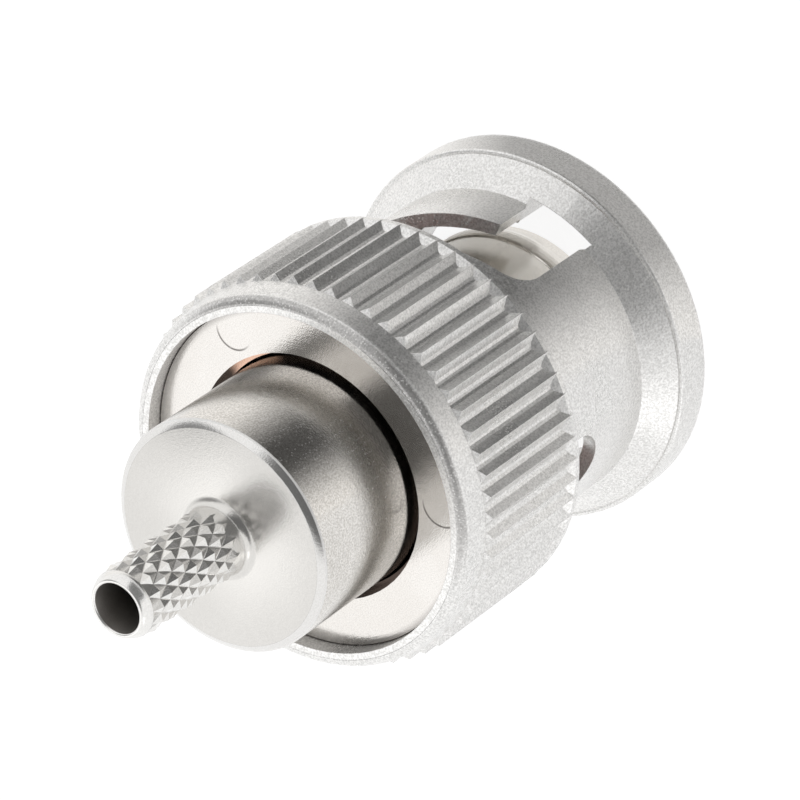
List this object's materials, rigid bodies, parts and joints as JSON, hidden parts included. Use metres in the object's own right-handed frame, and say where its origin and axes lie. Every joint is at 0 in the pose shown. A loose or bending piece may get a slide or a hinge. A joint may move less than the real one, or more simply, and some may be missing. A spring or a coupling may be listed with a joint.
{
  "type": "bnc plug connector",
  "caption": "Male BNC crimp plug for thin coaxial cable, with a ridged bayonet coupling nut that turns and floats on springs.",
  "frame": {"origin": "centre of the coupling nut's front face, the plug's lowest face as it stands", "axes": "+Z along the connector's axis from the mating end to the cable end, +X through one of the two bayonet entries"},
  "size_m": [0.0146, 0.0144, 0.0247],
  "materials": {
    "pearl_nickel": "matt pearl nickel plate on brass",
    "satin_nickel": "satin nickel plate on brass",
    "contact_nickel": "bright nickel plate on phosphor bronze",
    "bronze": "bare phosphor bronze",
    "silicone": "matt silicone rubber",
    "ptfe": "matt white PTFE",
    "gold": "gold plate on brass"
  },
  "bodies": {
    "plug": {"plug_body": "satin_nickel", "outer_contact": "contact_nickel", "sealing_gasket": "silicone", "front_insulator": "ptfe", "rear_insulator": "ptfe", "centre_contact": "gold", "wave_washers": "bronze"},
    "thrust": {"thrust_washer": "bronze"},
    "nut": {"coupling_nut": "pearl_nickel", "retaining_plate": "satin_nickel"}
  },
  "joints": [
    {"name": "coupling_float", "type": "slide", "parent": "plug", "child": "thrust", "axis": [0, 0, -1], "range_m": [0, 0.0007], "stiffness_N_per_m": 1000, "springref_m": -0.003, "deforming": ["wave_washers"]},
    {"name": "nut_turn", "type": "hinge", "parent": "thrust", "child": "nut", "pos_m": [0, 0, 0.0137], "axis": [0, 0, 1], "continuous": true}
  ]
}
